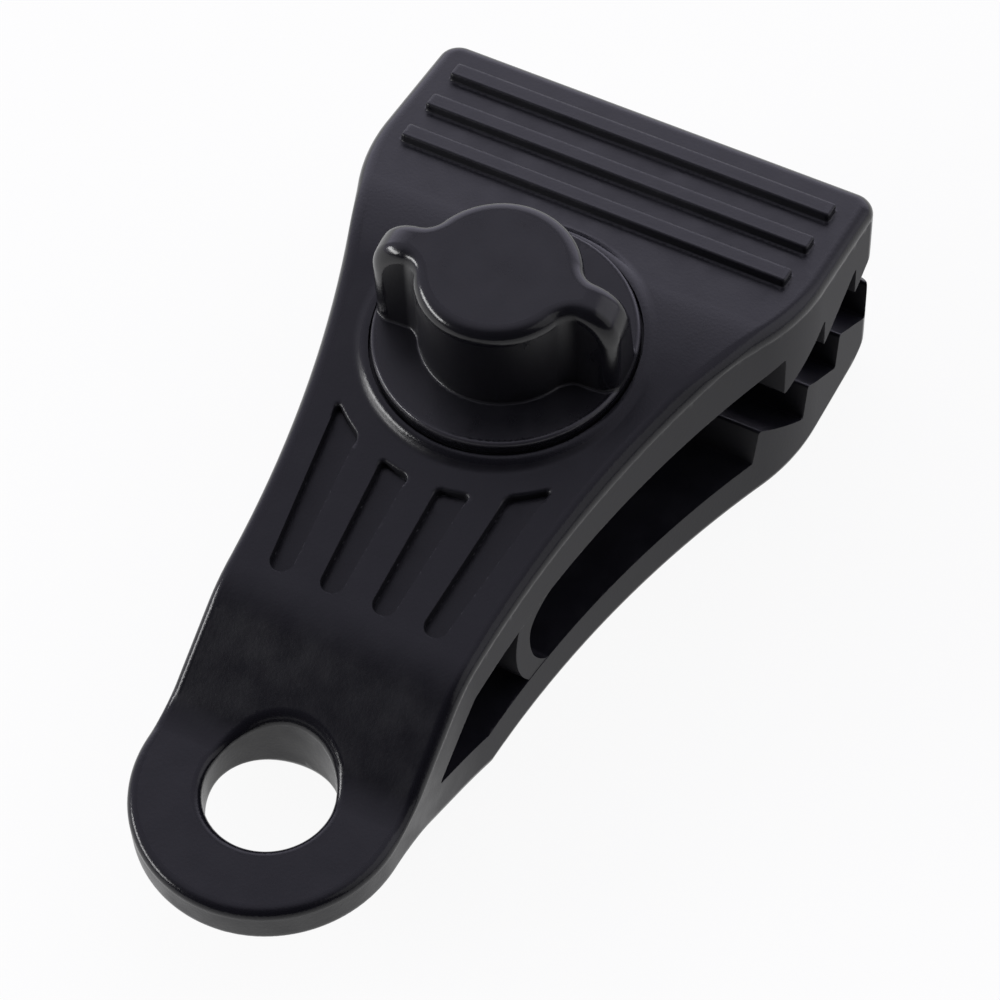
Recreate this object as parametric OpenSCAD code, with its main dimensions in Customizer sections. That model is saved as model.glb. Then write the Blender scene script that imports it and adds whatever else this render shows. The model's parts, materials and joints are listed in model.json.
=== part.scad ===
// Tarp clip. Two toothed jaws and a round tail eye are one springy moulding.
// A winged thumb screw on top runs in a nut in the lower jaw and pulls the jaws together.
// The eye's centre is the origin, X points to the jaw tips, Y to the left and Z up.

/* [Outline from above] */
// Width across the jaws
jaw_w = 42; // [38:0.5:46]
// Radius of the round tail end, also half the width of the neck
tail_r = 11.4; // [10.5:0.1:12.5]
// Where the straight neck ends and the sides start to spread
flare_start_x = 10.3; // [9:0.1:12]
// Where the sides are straight again
side_start_x = 58.4; // [56:0.2:61]
// Radius of the rounded shoulder before the straight side
shoulder_r = 19.9; // [15:0.1:25]
// Distance from the eye to the jaw tips
jaw_tip_x = 70.1; // [69.6:0.1:72]
// Radius of the corners at the jaw tips
corner_r = 2; // [1:0.1:3]

/* [Tail eye] */
// Radius of the hole in the tail
eye_r = 5.4; // [4.5:0.1:5.7]
// Thickness of the tail plate
tail_t = 4; // [3.4:0.1:4.6]
// Rounding of the rim of the hole
eye_rim_r = 0.9; // [0.5:0.1:1.2]
// Where the tail plate starts to rise to the jaws
slope_foot_x = 2.5; // [1.5:0.1:3.5]

/* [Upper jaw] */
// Place of the crest above the neck
crest_x = 12; // [11.4:0.1:12.6]
// Height of the crest
crest_z = 8.5; // [8:0.1:9]
// Place where the rising top face ends
brow_x = 44; // [41:0.2:46]
// Height where the rising top face ends
brow_z = 13.5; // [13:0.1:14]
// Place where the flat thumb pad starts
pad_x = 56; // [54:0.2:57]
// Height where the thumb pad starts
pad_z = 12.8; // [12.4:0.1:13.2]
// Height of the thumb pad at the jaw tip
pad_tip_z = 11.1; // [10.6:0.1:11.6]
// Height of the underside where it meets the slit in the tail
under_back_z = 4.2; // [4:0.05:4.4]
// Place where the underside starts to rise
under_bend_x = 26; // [25:0.2:30]
// Height where the underside starts to rise
under_bend_z = 5.5; // [5.3:0.1:6]
// Height of the underside at the first tooth
under_front_z = 7.9; // [7.3:0.1:8.3]

/* [Teeth] */
// Distance from one tooth to the next
tooth_pitch = 6.3; // [6:0.05:6.4]
// Steep side of the first upper tooth
upper_tooth_x = 52.9; // [52.4:0.1:53.3]
// Height of the upper tooth tips
upper_tip_z = 3.1; // [2.9:0.1:3.8]
// Height of the grooves between the upper teeth
upper_root_z = 6.6; // [6:0.1:7]
// Flat on each upper tooth tip
tooth_flat = 0.3; // [0.2:0.05:0.5]
// Ridge of the first lower tooth
lower_tooth_x = 50.2; // [49.8:0.1:50.5]
// Height of the lower ridges
lower_ridge_z = 0.3; // [-0.5:0.1:0.5]
// Lean of the steep side of a lower tooth
tooth_lean = 0.6; // [0.3:0.1:0.9]

/* [Lower jaw] */
// Height of the inner face
lower_face_z = -3.8; // [-3.9:0.05:-3.6]
// Place where the inner face meets the slit in the tail
floor_x = 15.2; // [14.6:0.1:15.8]
// Height of the flat underside
bottom_z = -8.6; // [-9.4:0.1:-8.4]
// Place where the underside becomes flat
heel_x = 15.4; // [14.6:0.1:17]
// Radius of the upturned toe
toe_r = 5; // [4.6:0.1:5.6]
// Distance from the jaw tip back to the centre of the toe's radius
toe_back = 4.4; // [3.8:0.1:4.4]

/* [Neck and spring web] */
// Place of the narrow end of the slit in the tail
slit_tip_x = 8.1; // [7.8:0.1:8.6]
// Height of that narrow end
slit_tip_z = 0.1; // [-0.2:0.1:0.4]
// Rounding of that narrow end
slit_tip_r = 0.4; // [0.3:0.05:0.6]
// Place where the slit meets the underside of the upper jaw
slit_x = 13.6; // [13:0.1:14.2]
// Thickness of the curved web between the jaws
web_t = 2; // [1.4:0.1:2.6]
// Radius of the web's curve, at the middle of its thickness
web_r = 8.5; // [7.5:0.1:10]
// Place of the web where it is nearest to the tail
web_x = 20.9; // [20:0.1:22]
// Height of the web where it is nearest to the tail
web_z = 1.5; // [1:0.1:2]

/* [Grip bars] */
// Place of the bar nearest to the screw
bar_x = 57.05; // [57:0.05:58.5]
// Distance from one bar to the next
bar_pitch = 4.42; // [3.6:0.01:4.8]
// Width of a bar
bar_w = 1.7; // [1.2:0.1:2.2]
// Height of a bar above the pad
bar_h = 0.8; // [0.4:0.1:1.2]
// Length of a bar
bar_l = 36.6; // [30:0.2:37]

/* [Slots] */
// Place of the round lower ends of the slots
slot_x = 15.7; // [15.2:0.1:17]
// Depth of the slots
slot_depth = 0.9; // [0.5:0.1:1.4]
// Radius of the clear ring between the slots and the screw
slot_ring_r = 14.8; // [14:0.1:16]
// Distance of the inner slots from the middle at their lower ends
inner_slot_y = 2.4; // [2.2:0.1:2.7]
// Distance of the outer slots from the middle at their lower ends
outer_slot_y = 7.1; // [6.8:0.1:7.5]
// Half the width of a slot at its lower end
slot_low_half = 1.05; // [0.8:0.05:1.2]
// Half the width of a slot at its upper end
slot_high_half = 1.55; // [1.1:0.05:1.7]
// Sideways spread of the inner slots from end to end
inner_slot_spread = 0.5; // [0.3:0.1:1]
// Sideways spread of the outer slots from end to end
outer_slot_spread = 1.75; // [1.2:0.1:2]

/* [Seat and thumb knob] */
// Distance from the eye to the middle of the knob's seat
screw_x = 41.2; // [40.6:0.1:41.8]
// Height of the middle of the seat
seat_z = 12.2; // [12:0.05:12.4]
// Tilt of the seat with the jaws open, in degrees, also the angle through which they close
seat_tilt = 4; // [3:0.1:4.2]
// Radius of the round rim that surrounds the seat
rim_r = 12.4; // [12.1:0.1:12.8]
// Height of that rim above the seat
rim_h = 0.75; // [0.4:0.05:1]
// Depth of that rim below the seat
rim_depth = 2; // [1.5:0.1:3]
// Radius of the knob's flange
flange_r = 11.1; // [10.8:0.1:11.3]
// Height of the flange's outer wall
flange_t = 1.65; // [1.4:0.05:2]
// Rise of the flange's top face from its edge to the cap
flange_rise = 0.15; // [0.05:0.05:0.6]
// Radius of the cap at the top
cap_r = 6.9; // [6.6:0.1:7.2]
// Widening of the cap from its top to its foot
cap_draft = 0.3; // [0.2:0.1:0.6]
// Height of the cap above the flange's wall
cap_h = 9.15; // [8.4:0.05:10]
// Rounding of the cap's top edge
cap_edge_r = 1.2; // [0.8:0.1:1.5]
// Thickness of the two wings at their foot
wing_foot_t = 5.2; // [4.6:0.1:6]
// Thickness of the two wings at their top
wing_top_t = 3.6; // [3:0.1:4.4]
// Rounding of the upper outer corner of a wing
wing_r = 3.6; // [2.8:0.1:3.8]
// Turn of the knob as it stands, in degrees
knob_turn = 3.5; // [0:0.5:10]

/* [Screw and nut] */
// Radius of the screw's core, without its thread
core_r = 2.4; // [2.1:0.05:2.45]
// Length of the screw below the seat
shank_l = 18.4; // [17.8:0.1:18.4]
// Bevel at the screw's tip
shank_bevel = 0.5; // [0.3:0.1:0.8]
// Width of the screw's head across its flats
head_w = 10; // [8:0.1:10.5]
// Height of the screw's head
head_h = 4; // [3:0.1:4.5]
// Plastic between the top of the head and the top of the knob
head_cover = 2.6; // [2:0.1:3.5]
// Radius of the hole through the nut, at the root of its thread
nut_hole_r = 3.05; // [3:0.05:3.2]
// Width of the nut across its flats
nut_w = 10; // [8.5:0.1:11]
// Height of the nut
nut_h = 3.2; // [2.8:0.1:3.6]
// Distance from the flat underside up to the nut
nut_recess = 0.3; // [0.1:0.1:0.6]
// Radius of the screw's holes through both jaws
jaw_hole_r = 3.3; // [3.2:0.05:3.6]

/* [Clearances] */
// Room all round between the flange and the wall of its seat
flange_clearance = 0.3; // [0.25:0.05:0.5]
// Room between a flat of the nut and its pocket
nut_clearance = 0.1; // [0.05:0.01:0.2]
// Room between the seat and the flange that turns on it
seat_clearance = 0.1; // [0.05:0.01:0.15]
// Overrun of every cut past the surface it cuts
overrun = 1; // [0.5:0.1:2]

/* [Hidden] */

// Number of straight pieces in each drawn arc and of sides in each round solid
arc_steps = 16;
$fn = 96;
// Teeth in each jaw, as many as start before the tip, and bars on the pad
upper_teeth = ceil((jaw_tip_x - upper_tooth_x) / tooth_pitch);
lower_teeth = ceil((jaw_tip_x - lower_tooth_x) / tooth_pitch);
bars = 3;
// Sides of the head and the nut
hex = 6;
// Half the angle that the springy neck takes up around the slit, and the ray from the slit's centre
// that parts the lower jaw from the eye, in degrees
neck_half_angle = 22;
heel_ray = 218;

jaw_half = jaw_w / 2;
tail_half = tail_t / 2;
front_x = jaw_tip_x + overrun;
slit_tip = [slit_tip_x, slit_tip_z];
under_back = [slit_x, under_back_z];
face_back = [floor_x, lower_face_z];
slit_centre = (slit_tip + under_back + face_back) / 3;

// Points on an arc, where a line crosses a ray, and the point of a line at a given x
function arc(c, r, from, to) =
    [for (i = [0 : arc_steps]) let (a = from + (to - from) * i / arc_steps) c + r * [cos(a), sin(a)]];
function cross2(a, b) = a[0] * b[1] - a[1] * b[0];
function ray_meet(p, angle, a, b) =
    let (d = [cos(angle), sin(angle)]) p + d * cross2(a - p, b - a) / cross2(d, b - a);
function on_line(a, b, x) = [x, a[1] + (b[1] - a[1]) * (x - a[0]) / (b[0] - a[0])];
// A bow that leaves a towards c and reaches b from c
function bow(a, c, b) =
    [for (i = [0 : arc_steps]) let (t = i / arc_steps) (1 - t) * (1 - t) * a + 2 * t * (1 - t) * c + t * t * b];
function backwards(list) = [for (i = [len(list) - 1 : -1 : 0]) list[i]];

// Half of the outline from above: neck, hollow flare, rounded shoulder, straight side, corner
flare_turn = 2 * atan((jaw_half - tail_r) / (side_start_x - flare_start_x));
waist_r = (side_start_x - flare_start_x) / sin(flare_turn) - shoulder_r;
half_outline = concat(
    [[0, tail_r]],
    arc([flare_start_x, tail_r + waist_r], waist_r, -90, flare_turn - 90),
    arc([side_start_x, jaw_half - shoulder_r], shoulder_r, 90 + flare_turn, 90),
    arc([jaw_tip_x - corner_r, jaw_half - corner_r], corner_r, 90, 0));
outline = concat(half_outline, [for (p = backwards(half_outline)) [p[0], -p[1]]]);

// Lines of the side view
slope_foot = [slope_foot_x, tail_half];
crest = [crest_x, crest_z];
brow = [brow_x, brow_z];
pad_start = [pad_x, pad_z];
pad_end = [jaw_tip_x, pad_tip_z];
face_angle = atan2(brow_z - crest_z, brow_x - crest_x);
brow_corner = ray_meet(crest, face_angle, pad_start, pad_end);
heel_foot = [slope_foot_x, -tail_half];
heel = [heel_x, bottom_z];
under_bend = [under_bend_x, under_bend_z];
eye_low = ray_meet(slit_centre, heel_ray, heel_foot, heel);

// The neck lies where a ray from the slit's centre meets the slope squarely.
// The upper jaw swings about the middle of its thickness.
neck_ray = 90 + atan2(crest_z - tail_half, crest_x - slope_foot_x);
neck_outside = ray_meet(slit_centre, neck_ray, slope_foot, crest);
neck_inside = ray_meet(slit_centre, neck_ray, slit_tip, under_back);
hinge = (neck_outside + neck_inside) / 2;
eye_top = ray_meet(slit_centre, neck_ray + neck_half_angle, slope_foot, crest);
jaw_back = ray_meet(slit_centre, neck_ray - neck_half_angle, slope_foot, crest);

upper_fall = (upper_root_z - upper_tip_z) / (tooth_pitch - tooth_flat);
last_upper_x = upper_tooth_x + (upper_teeth - 1) * tooth_pitch;
upper_front_z = upper_tip_z + upper_fall * (front_x - last_upper_x - tooth_flat);
upper_profile = concat(
    [slit_centre, jaw_back, crest],
    bow(brow, brow_corner, pad_start),
    [on_line(pad_start, pad_end, front_x), [front_x, upper_front_z]],
    [for (i = [upper_teeth - 1 : -1 : 0], k = [0 : 2]) let (x = upper_tooth_x + i * tooth_pitch)
        [[x + tooth_flat, upper_tip_z], [x, upper_tip_z], [x, i > 0 ? upper_root_z : under_front_z]][k]],
    [under_bend, under_back]);

toe_x = jaw_tip_x - toe_back;
lower_fall = (lower_ridge_z - lower_face_z) / (tooth_pitch - tooth_lean);
last_lower_x = lower_tooth_x + (lower_teeth - 1) * tooth_pitch;
lower_front_z = lower_ridge_z - lower_fall * (toe_x + toe_r - last_lower_x);
lower_profile = concat(
    [slit_centre, face_back],
    [for (i = [0 : lower_teeth - 1], k = [0 : 1]) let (x = lower_tooth_x + i * tooth_pitch)
        [[x - tooth_lean, lower_face_z], [x, lower_ridge_z]][k]],
    [[toe_x + toe_r, lower_front_z]],
    arc([toe_x, bottom_z + toe_r], toe_r, 0, -90),
    [heel, eye_low]);

// The sides of the slots run on to here, inside the clear ring that then cuts them off
slot_end_x = screw_x - slot_ring_r / 2;

// Heights of the knob above its seat
flange_top = seat_clearance + flange_t;
knob_top = flange_top + cap_h;
head_low = knob_top - head_cover - head_h;

// The screw leans as the seat does while the jaws are open, and stands upright when they are closed.
// The nut is midway between the two places of the screw.
open_x = screw_x + shank_l * sin(seat_tilt);
closed_x = hinge[0] + (screw_x - hinge[0]) * cos(seat_tilt) + (seat_z - hinge[1]) * sin(seat_tilt);
nut_x = (open_x + closed_x) / 2;
nut_z = bottom_z + nut_recess;
// Radius at the corners of a six-sided piece from its width across the flats
function hex_r(w) = w / 2 / cos(180 / hex);

// A side view drawn in X and Z, as wide as the part and a little more
module side_slab(points) {
    rotate([90, 0, 0])
        linear_extrude(height = jaw_w + 2 * overrun, center = true)
            polygon(points);
}

// The outline from above, taller than the part
module plan_block() {
    translate([0, 0, bottom_z - overrun])
        linear_extrude(height = brow_corner[1] - bottom_z + 2 * overrun)
            polygon(outline);
}

// The slit that parts the two jaws behind the web, down to its narrow rounded end in the tail
module slit_end() {
    upper_angle = atan2(under_back_z - slit_tip_z, slit_x - slit_tip_x);
    lower_angle = atan2(lower_face_z - slit_tip_z, floor_x - slit_tip_x);
    side_slab(concat(
        [face_back, under_back],
        arc(slit_tip, slit_tip_r, upper_angle + 90, lower_angle + 270)));
}

// Places a piece on the seat, with its own axis along the screw
module on_seat() {
    translate([screw_x, 0, seat_z])
        rotate([0, -seat_tilt, 0])
            children();
}

// A round or six-sided post along the screw, from one height above the seat to another
module post(r, from, to, sides = $fn) {
    translate([0, 0, from])
        cylinder(r = r, h = to - from, $fn = sides);
}

// Ring that rounds the rim of the eye, in the upper face
module rim_cut() {
    rotate_extrude()
        polygon(concat(
            arc([eye_r + eye_rim_r, tail_half - eye_rim_r], eye_rim_r, 180, 90),
            [[eye_r + eye_rim_r, tail_half + overrun], [eye_r - overrun, tail_half + overrun],
             [eye_r - overrun, tail_half - eye_rim_r]]));
}

// Plan of the two inner or the two outer slots
module slot_pair(y, spread) {
    for (side = [-1, 1]) {
        translate([slot_x, side * y, crest_z - overrun])
            cylinder(r = slot_low_half, h = brow_z - crest_z + 2 * overrun);
        translate([0, 0, crest_z - overrun])
            linear_extrude(height = brow_z - crest_z + 2 * overrun)
                polygon([[slot_x, side * (y - slot_low_half)],
                         [slot_end_x, side * (y + spread - slot_high_half)],
                         [slot_end_x, side * (y + spread + slot_high_half)],
                         [slot_x, side * (y + slot_low_half)]]);
    }
}

// The slots follow the rising face at one depth and stop at a ring around the screw
module slots() {
    floor_back = crest - [0, slot_depth];
    floor_front = brow - [0, slot_depth];
    difference() {
        intersection() {
            side_slab([floor_back, floor_front, [brow_x, brow_z + overrun], [crest_x, brow_z + overrun]]);
            union() {
                slot_pair(inner_slot_y, inner_slot_spread);
                slot_pair(outer_slot_y, outer_slot_spread);
            }
        }
        on_seat() post(slot_ring_r, -seat_z, knob_top);
    }
}

// Raised bars on the thumb pad
module grip_bars() {
    pad_angle = atan2(pad_z - pad_tip_z, jaw_tip_x - pad_x);
    for (i = [0 : bars - 1]) {
        p = on_line(pad_start, pad_end, bar_x + i * bar_pitch);
        translate([p[0], 0, p[1]])
            rotate([0, pad_angle, 0])
                translate([-bar_w / 2, -bar_l / 2, -overrun])
                    cube([bar_w, bar_l, bar_h + overrun]);
    }
}

// Round tail plate with the eye, up to the roots of both jaws
module tail_eye() {
    color("dimgray")
        difference() {
            intersection() {
                side_slab([[-tail_r - overrun, tail_half], slope_foot, eye_top, slit_centre,
                           eye_low, heel_foot, [-tail_r - overrun, -tail_half]]);
                union() {
                    plan_block();
                    translate([0, 0, bottom_z])
                        cylinder(r = tail_r, h = crest_z - bottom_z);
                }
            }
            slit_end();
            translate([0, 0, bottom_z])
                cylinder(r = eye_r, h = crest_z - bottom_z);
            rim_cut();
            mirror([0, 0, 1]) rim_cut();
        }
}

// Lower jaw with its teeth, the pocket for the nut and the hole for the screw
module lower_jaw() {
    color("slategray")
        difference() {
            intersection() {
                side_slab(lower_profile);
                plan_block();
            }
            slit_end();
            translate([nut_x, 0, 0]) {
                post(hex_r(nut_w + 2 * nut_clearance), bottom_z - overrun, nut_z + nut_h, hex);
                post(jaw_hole_r, bottom_z - overrun, lower_face_z + overrun);
            }
        }
}

// Upper jaw with its teeth, grip bars, slots and the round seat for the knob
module upper_jaw() {
    color("darkslategray")
        difference() {
            union() {
                difference() {
                    intersection() {
                        side_slab(upper_profile);
                        plan_block();
                    }
                    slit_end();
                    slots();
                }
                on_seat() post(rim_r, -rim_depth, rim_h);
                grip_bars();
            }
            on_seat() {
                post(flange_r + flange_clearance, 0, knob_top);
                post(jaw_hole_r, -seat_z, knob_top);
            }
        }
}

// Thin springy neck that carries the upper jaw on the tail
module flex_neck() {
    color("olivedrab")
        difference() {
            intersection() {
                side_slab([slit_centre, eye_top, jaw_back]);
                plan_block();
            }
            slit_end();
        }
}

// Curved web between the jaws that pushes them open again
module spring_web() {
    centre_x = web_x + web_r;
    back_x = web_x - web_t;
    color("steelblue")
        intersection() {
            side_slab([[back_x, lower_face_z], [under_bend_x, lower_face_z], under_bend,
                       on_line(under_back, under_bend, back_x)]);
            plan_block();
            translate([centre_x, 0, web_z])
                rotate([90, 0, 0])
                    difference() {
                        cylinder(r = web_r + web_t / 2, h = jaw_w, center = true);
                        cylinder(r = web_r - web_t / 2, h = jaw_w + overrun, center = true);
                    }
        }
}

// Side view of both wings along Y, rounded at their upper outer corners
module wing_view() {
    far = flange_r - wing_r;
    polygon(concat(
        [[-flange_r - overrun, seat_clearance], [flange_r + overrun, seat_clearance],
         [flange_r + overrun, knob_top - wing_r]],
        arc([far, knob_top - wing_r], wing_r, 0, 90),
        arc([-far, knob_top - wing_r], wing_r, 90, 180),
        [[-flange_r - overrun, knob_top - wing_r]]));
}

// Both wings, thinner towards the top, and flush with the cap's top and the flange's edge
module wings() {
    foot_half = wing_foot_t / 2;
    top_half = wing_top_t / 2;
    intersection() {
        rotate([90, 0, 90])
            linear_extrude(height = wing_foot_t, center = true)
                wing_view();
        rotate([90, 0, 0])
            linear_extrude(height = 2 * (flange_r + overrun), center = true)
                polygon([[-foot_half, seat_clearance], [foot_half, seat_clearance],
                         [top_half, knob_top], [-top_half, knob_top]]);
        post(flange_r, seat_clearance, knob_top);
    }
}

// Winged knob, hollow for the screw's head
module thumb_knob() {
    color("indigo")
        on_seat()
            rotate([0, 0, knob_turn])
                difference() {
                    union() {
                        rotate_extrude()
                            polygon(concat(
                                [[0, seat_clearance], [flange_r, seat_clearance], [flange_r, flange_top],
                                 [cap_r + cap_draft, flange_top + flange_rise]],
                                arc([cap_r - cap_edge_r, knob_top - cap_edge_r], cap_edge_r, 0, 90),
                                [[0, knob_top]]));
                        wings();
                    }
                    post(hex_r(head_w), head_low, head_low + head_h, hex);
                    post(core_r, -overrun, head_low);
                }
}

// Steel screw with its six-sided head inside the knob
module clamp_screw() {
    color("silver")
        on_seat()
            rotate([0, 0, knob_turn]) {
                post(hex_r(head_w), head_low, head_low + head_h, hex);
                post(core_r, shank_bevel - shank_l, head_low);
                translate([0, 0, -shank_l])
                    cylinder(r1 = core_r - shank_bevel, r2 = core_r, h = shank_bevel);
            }
}

// Nut held against turning in the lower jaw
module captive_nut() {
    color("goldenrod")
        translate([nut_x, 0, 0])
            difference() {
                post(hex_r(nut_w), nut_z, nut_z + nut_h, hex);
                post(nut_hole_r, nut_z - overrun, nut_z + nut_h + overrun);
            }
}

tail_eye();
lower_jaw();
upper_jaw();
flex_neck();
spring_web();
thumb_knob();
clamp_screw();
captive_nut();
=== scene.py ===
# %% [markdown]
# # A tarp clip in black plastic
# The clip is one springy moulding: a round tail with an eye, and two toothed jaws. A winged knob on top
# turns a steel screw in a nut and draws the jaws together. This lesson dresses the bare solids of the
# clip with soft moulded edges, a real thread and rubbed plastic, and then photographs it on a white
# table. The solids give the sizes and the joints, and the knob, the screw and the nut hang from empties
# named after the bodies that move.

# %% Load the frame
import json
import math

import bpy
import numpy as np
from mathutils import Matrix, Vector


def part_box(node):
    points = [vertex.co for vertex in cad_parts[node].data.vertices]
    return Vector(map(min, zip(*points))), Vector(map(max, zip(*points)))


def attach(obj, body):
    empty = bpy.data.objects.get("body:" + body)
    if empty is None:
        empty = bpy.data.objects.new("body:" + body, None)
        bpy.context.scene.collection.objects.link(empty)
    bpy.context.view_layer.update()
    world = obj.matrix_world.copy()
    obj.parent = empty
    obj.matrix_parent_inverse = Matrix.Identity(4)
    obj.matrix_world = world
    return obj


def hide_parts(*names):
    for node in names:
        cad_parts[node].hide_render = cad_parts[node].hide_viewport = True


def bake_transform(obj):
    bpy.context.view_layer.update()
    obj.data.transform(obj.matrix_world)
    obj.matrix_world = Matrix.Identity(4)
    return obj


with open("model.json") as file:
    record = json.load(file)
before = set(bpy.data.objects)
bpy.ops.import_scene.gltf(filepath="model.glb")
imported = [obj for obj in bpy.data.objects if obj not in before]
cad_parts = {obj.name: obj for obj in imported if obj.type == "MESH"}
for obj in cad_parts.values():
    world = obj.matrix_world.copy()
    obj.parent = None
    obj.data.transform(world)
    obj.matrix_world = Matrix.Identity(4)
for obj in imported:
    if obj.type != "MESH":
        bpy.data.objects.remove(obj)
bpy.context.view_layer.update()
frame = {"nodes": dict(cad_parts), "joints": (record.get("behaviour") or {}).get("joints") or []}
print("solids:", sorted(frame["nodes"]))

# %% [markdown]
# ## The camera
# The photograph was taken from above the tail with a long lens. Such a lens flattens perspective, so the
# camera stands a quarter of a metre away and looks down at 55 degrees. Placing the camera first means
# that every later render can be laid over the photograph. Its three axes are written out, because a small
# roll of the camera is hard to give with two angles.

# %% Place the camera
MM = 0.001
camera_data = bpy.data.cameras.new("camera")
camera_data.lens = 127.3
camera_data.sensor_width = 36
camera_data.clip_start = 10 * MM
camera = bpy.data.objects.new("camera", camera_data)
bpy.context.scene.collection.objects.link(camera)
camera_right = Vector((0.4677, -0.8832, -0.0339)).normalized()
camera_back = Vector((-0.4945, -0.2933, 0.8182)).normalized()
camera_up = camera_back.cross(camera_right)
camera_place = Vector((-113.72, -90.37, 244.79)) * MM
camera.matrix_world = Matrix.Translation(camera_place) @ Matrix(
    (camera_right, camera_up, camera_back)).transposed().to_4x4()
bpy.context.scene.camera = camera
print("camera", [round(v / MM) for v in camera_place], "mm from the eye")

# %% [markdown]
# ## Shapes from distances
# A moulded part has no sharp edges: every edge has a small radius, because plastic doesn't fill a sharp
# corner of a mould. Bevels on a mesh with slots, teeth and a tilted seat are hard to keep clean. So each
# piece here starts as a formula that says how far a point is from its surface, negative inside. Two such
# formulas join with min and cut with max, and a rounded min or max gives the radius for free. A shallow
# bend, such as the crest above the slope, has no corner to round, so it is softened over a length
# instead.

# %% Rounded joins and cuts
def both(a, b, r):
    """The part inside a and inside b, with the edge between them rounded by r."""
    return np.minimum(np.maximum(a, b), -r) + np.hypot(np.maximum(a + r, 0), np.maximum(b + r, 0))


def either(a, b, r):
    """The part inside a or inside b, with a fillet of r in the corner between them."""
    return -both(-a, -b, r)


def without(a, b, r):
    """The part inside a that b leaves, with the cut's edge rounded by r."""
    return both(a, -b, r)


def softly(a, b, bend):
    """The part inside a and inside b, where a shallow crest between them is softened over a bend."""
    share = np.maximum(bend - np.abs(a - b), 0) / bend
    return np.maximum(a, b) + share ** 2 * bend / 4


print("field of a corner rounded by 1:", both(np.float64(0), np.float64(0), 1).round(3))

# %% [markdown]
# ## Lines and outlines
# The side view of the clip is drawn with straight lines and closed outlines. The distance to an outline
# is that to its nearest side, and counting the sides that a level line crosses tells inside from outside.
# A curve object with a bevel could draw such an outline too, but it couldn't be cut with a rounded edge.

# %% Distance from lines and outlines
def slope_field(x, z, start, end):
    """Distance above the line from start to end in the side view."""
    along = np.subtract(end, start) / math.dist(start, end)
    return (z - start[1]) * along[0] - (x - start[0]) * along[1]


def polygon_field(x, z, points):
    """Distance from a closed outline in the side view, negative inside."""
    nearest = np.inf
    inside = False
    for (ax, az), (bx, bz) in zip(points, points[1:] + points[:1]):
        ex, ez = bx - ax, bz - az
        px, pz = x - ax, z - az
        t = np.clip((px * ex + pz * ez) / (ex * ex + ez * ez), 0, 1)
        nearest = np.minimum(nearest, np.hypot(px - ex * t, pz - ez * t))
        if ez != 0:
            crosses = ((az <= z) != (bz <= z)) & (px < ex * pz / ez)
            inside = inside ^ crosses
    return np.where(inside, -nearest, nearest)


def rounded(corners, r, steps=4):
    """The outline through the corners, each one replaced by an arc of radius r."""
    points = []
    for before, here, after in zip(corners[-1:] + corners[:-1], corners, corners[1:] + corners[:1]):
        a = Vector(before) - Vector(here)
        b = Vector(after) - Vector(here)
        half = a.angle(b) / 2
        back = min(r / math.tan(half), a.length / 2, b.length / 2)
        start = Vector(here) + a.normalized() * back
        end = Vector(here) + b.normalized() * back
        for i in range(steps + 1):
            t = i / steps
            point = start * (1 - t) ** 2 + Vector(here) * 2 * t * (1 - t) + end * t ** 2
            points.append((point.x, point.y))
    return points


unit_square = [(0, 0), (1, 0), (1, 1), (0, 1)]
print("the middle of a square lies at", polygon_field(np.float64(0.5), np.float64(0.5), unit_square))

# %% [markdown]
# ## From a distance to a mesh
# Blender draws meshes, so the formula has to become one. Its slope at a point is the direction of the
# nearest surface, and so a point close by can be slid onto the surface. The slope is measured by trying
# the formula a little to each side, because that works for any formula. A ball of radius 1 serves as a
# test.

# %% Slope of a field
def ball(x, y, z):
    """A ball of radius 1, for trying out the helpers."""
    return np.sqrt(x ** 2 + y ** 2 + z ** 2) - 1


def slope_of(field, points, h=0.01, least=0.2):
    """How steeply, and in which direction, a field rises at many points."""
    rise = [field(*(points + h * axis).T) - field(*(points - h * axis).T) for axis in np.eye(3)]
    rise = np.stack(rise, 1) / (2 * h)
    steepness = np.maximum(np.linalg.norm(rise, axis=1), least)[:, None]
    return steepness, rise / steepness


def settle(field, points, passes=2, reach=0.3):
    """Slides points onto the surface of a field, each pass by no more than the reach."""
    for _ in range(passes):
        steepness, way = slope_of(field, points)
        points = points - way * np.clip(field(*points.T)[:, None] / steepness, -reach, reach)
    return points


near_ball = np.array([[0.0, 0.0, 1.2]])
print("a point near the ball settles at", settle(ball, near_ball).round(3)[0].tolist())

# %% [markdown]
# ## Grid cells
# A grid is laid through the formula. Wherever a grid line crosses the surface, the crossing point and the
# slope there give a small tangent plane. Each grid cell gets one point, set where the planes of its
# crossings meet best, so that it lands right on an edge or a corner if the cell holds one. Quads join the
# points of neighbouring cells. A Remesh modifier would work from a mesh, and there is none yet.

# %% Where grid lines cross the surface
def crossings(values, axes):
    """Points where grid lines cross the surface, and the ring of four cells around each."""
    size = np.array(values.shape) - 1
    points, rings = [], []
    for axis in range(3):
        u, v = (axis + 1) % 3, (axis + 2) % 3
        first = np.delete(values, -1, axis)
        second = np.delete(values, 0, axis)
        line = np.argwhere((first < 0) != (second < 0))
        start, end = first[tuple(line.T)], second[tuple(line.T)]
        point = np.stack([axes[i][line[:, i]] for i in range(3)], 1)
        point[:, axis] += (axes[axis][1] - axes[axis][0]) * start / (start - end)
        ring = []
        for du, dv in ((1, 1), (0, 1), (0, 0), (1, 0)):
            cell = line.copy()
            cell[:, u] -= du
            cell[:, v] -= dv
            ring.append(np.ravel_multi_index(cell.T, size))
        ring = np.stack(ring, 1)
        points.append(point)
        rings.append(np.where((start < 0)[:, None], ring, ring[:, ::-1]))
    return np.concatenate(points), np.concatenate(rings)


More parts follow.
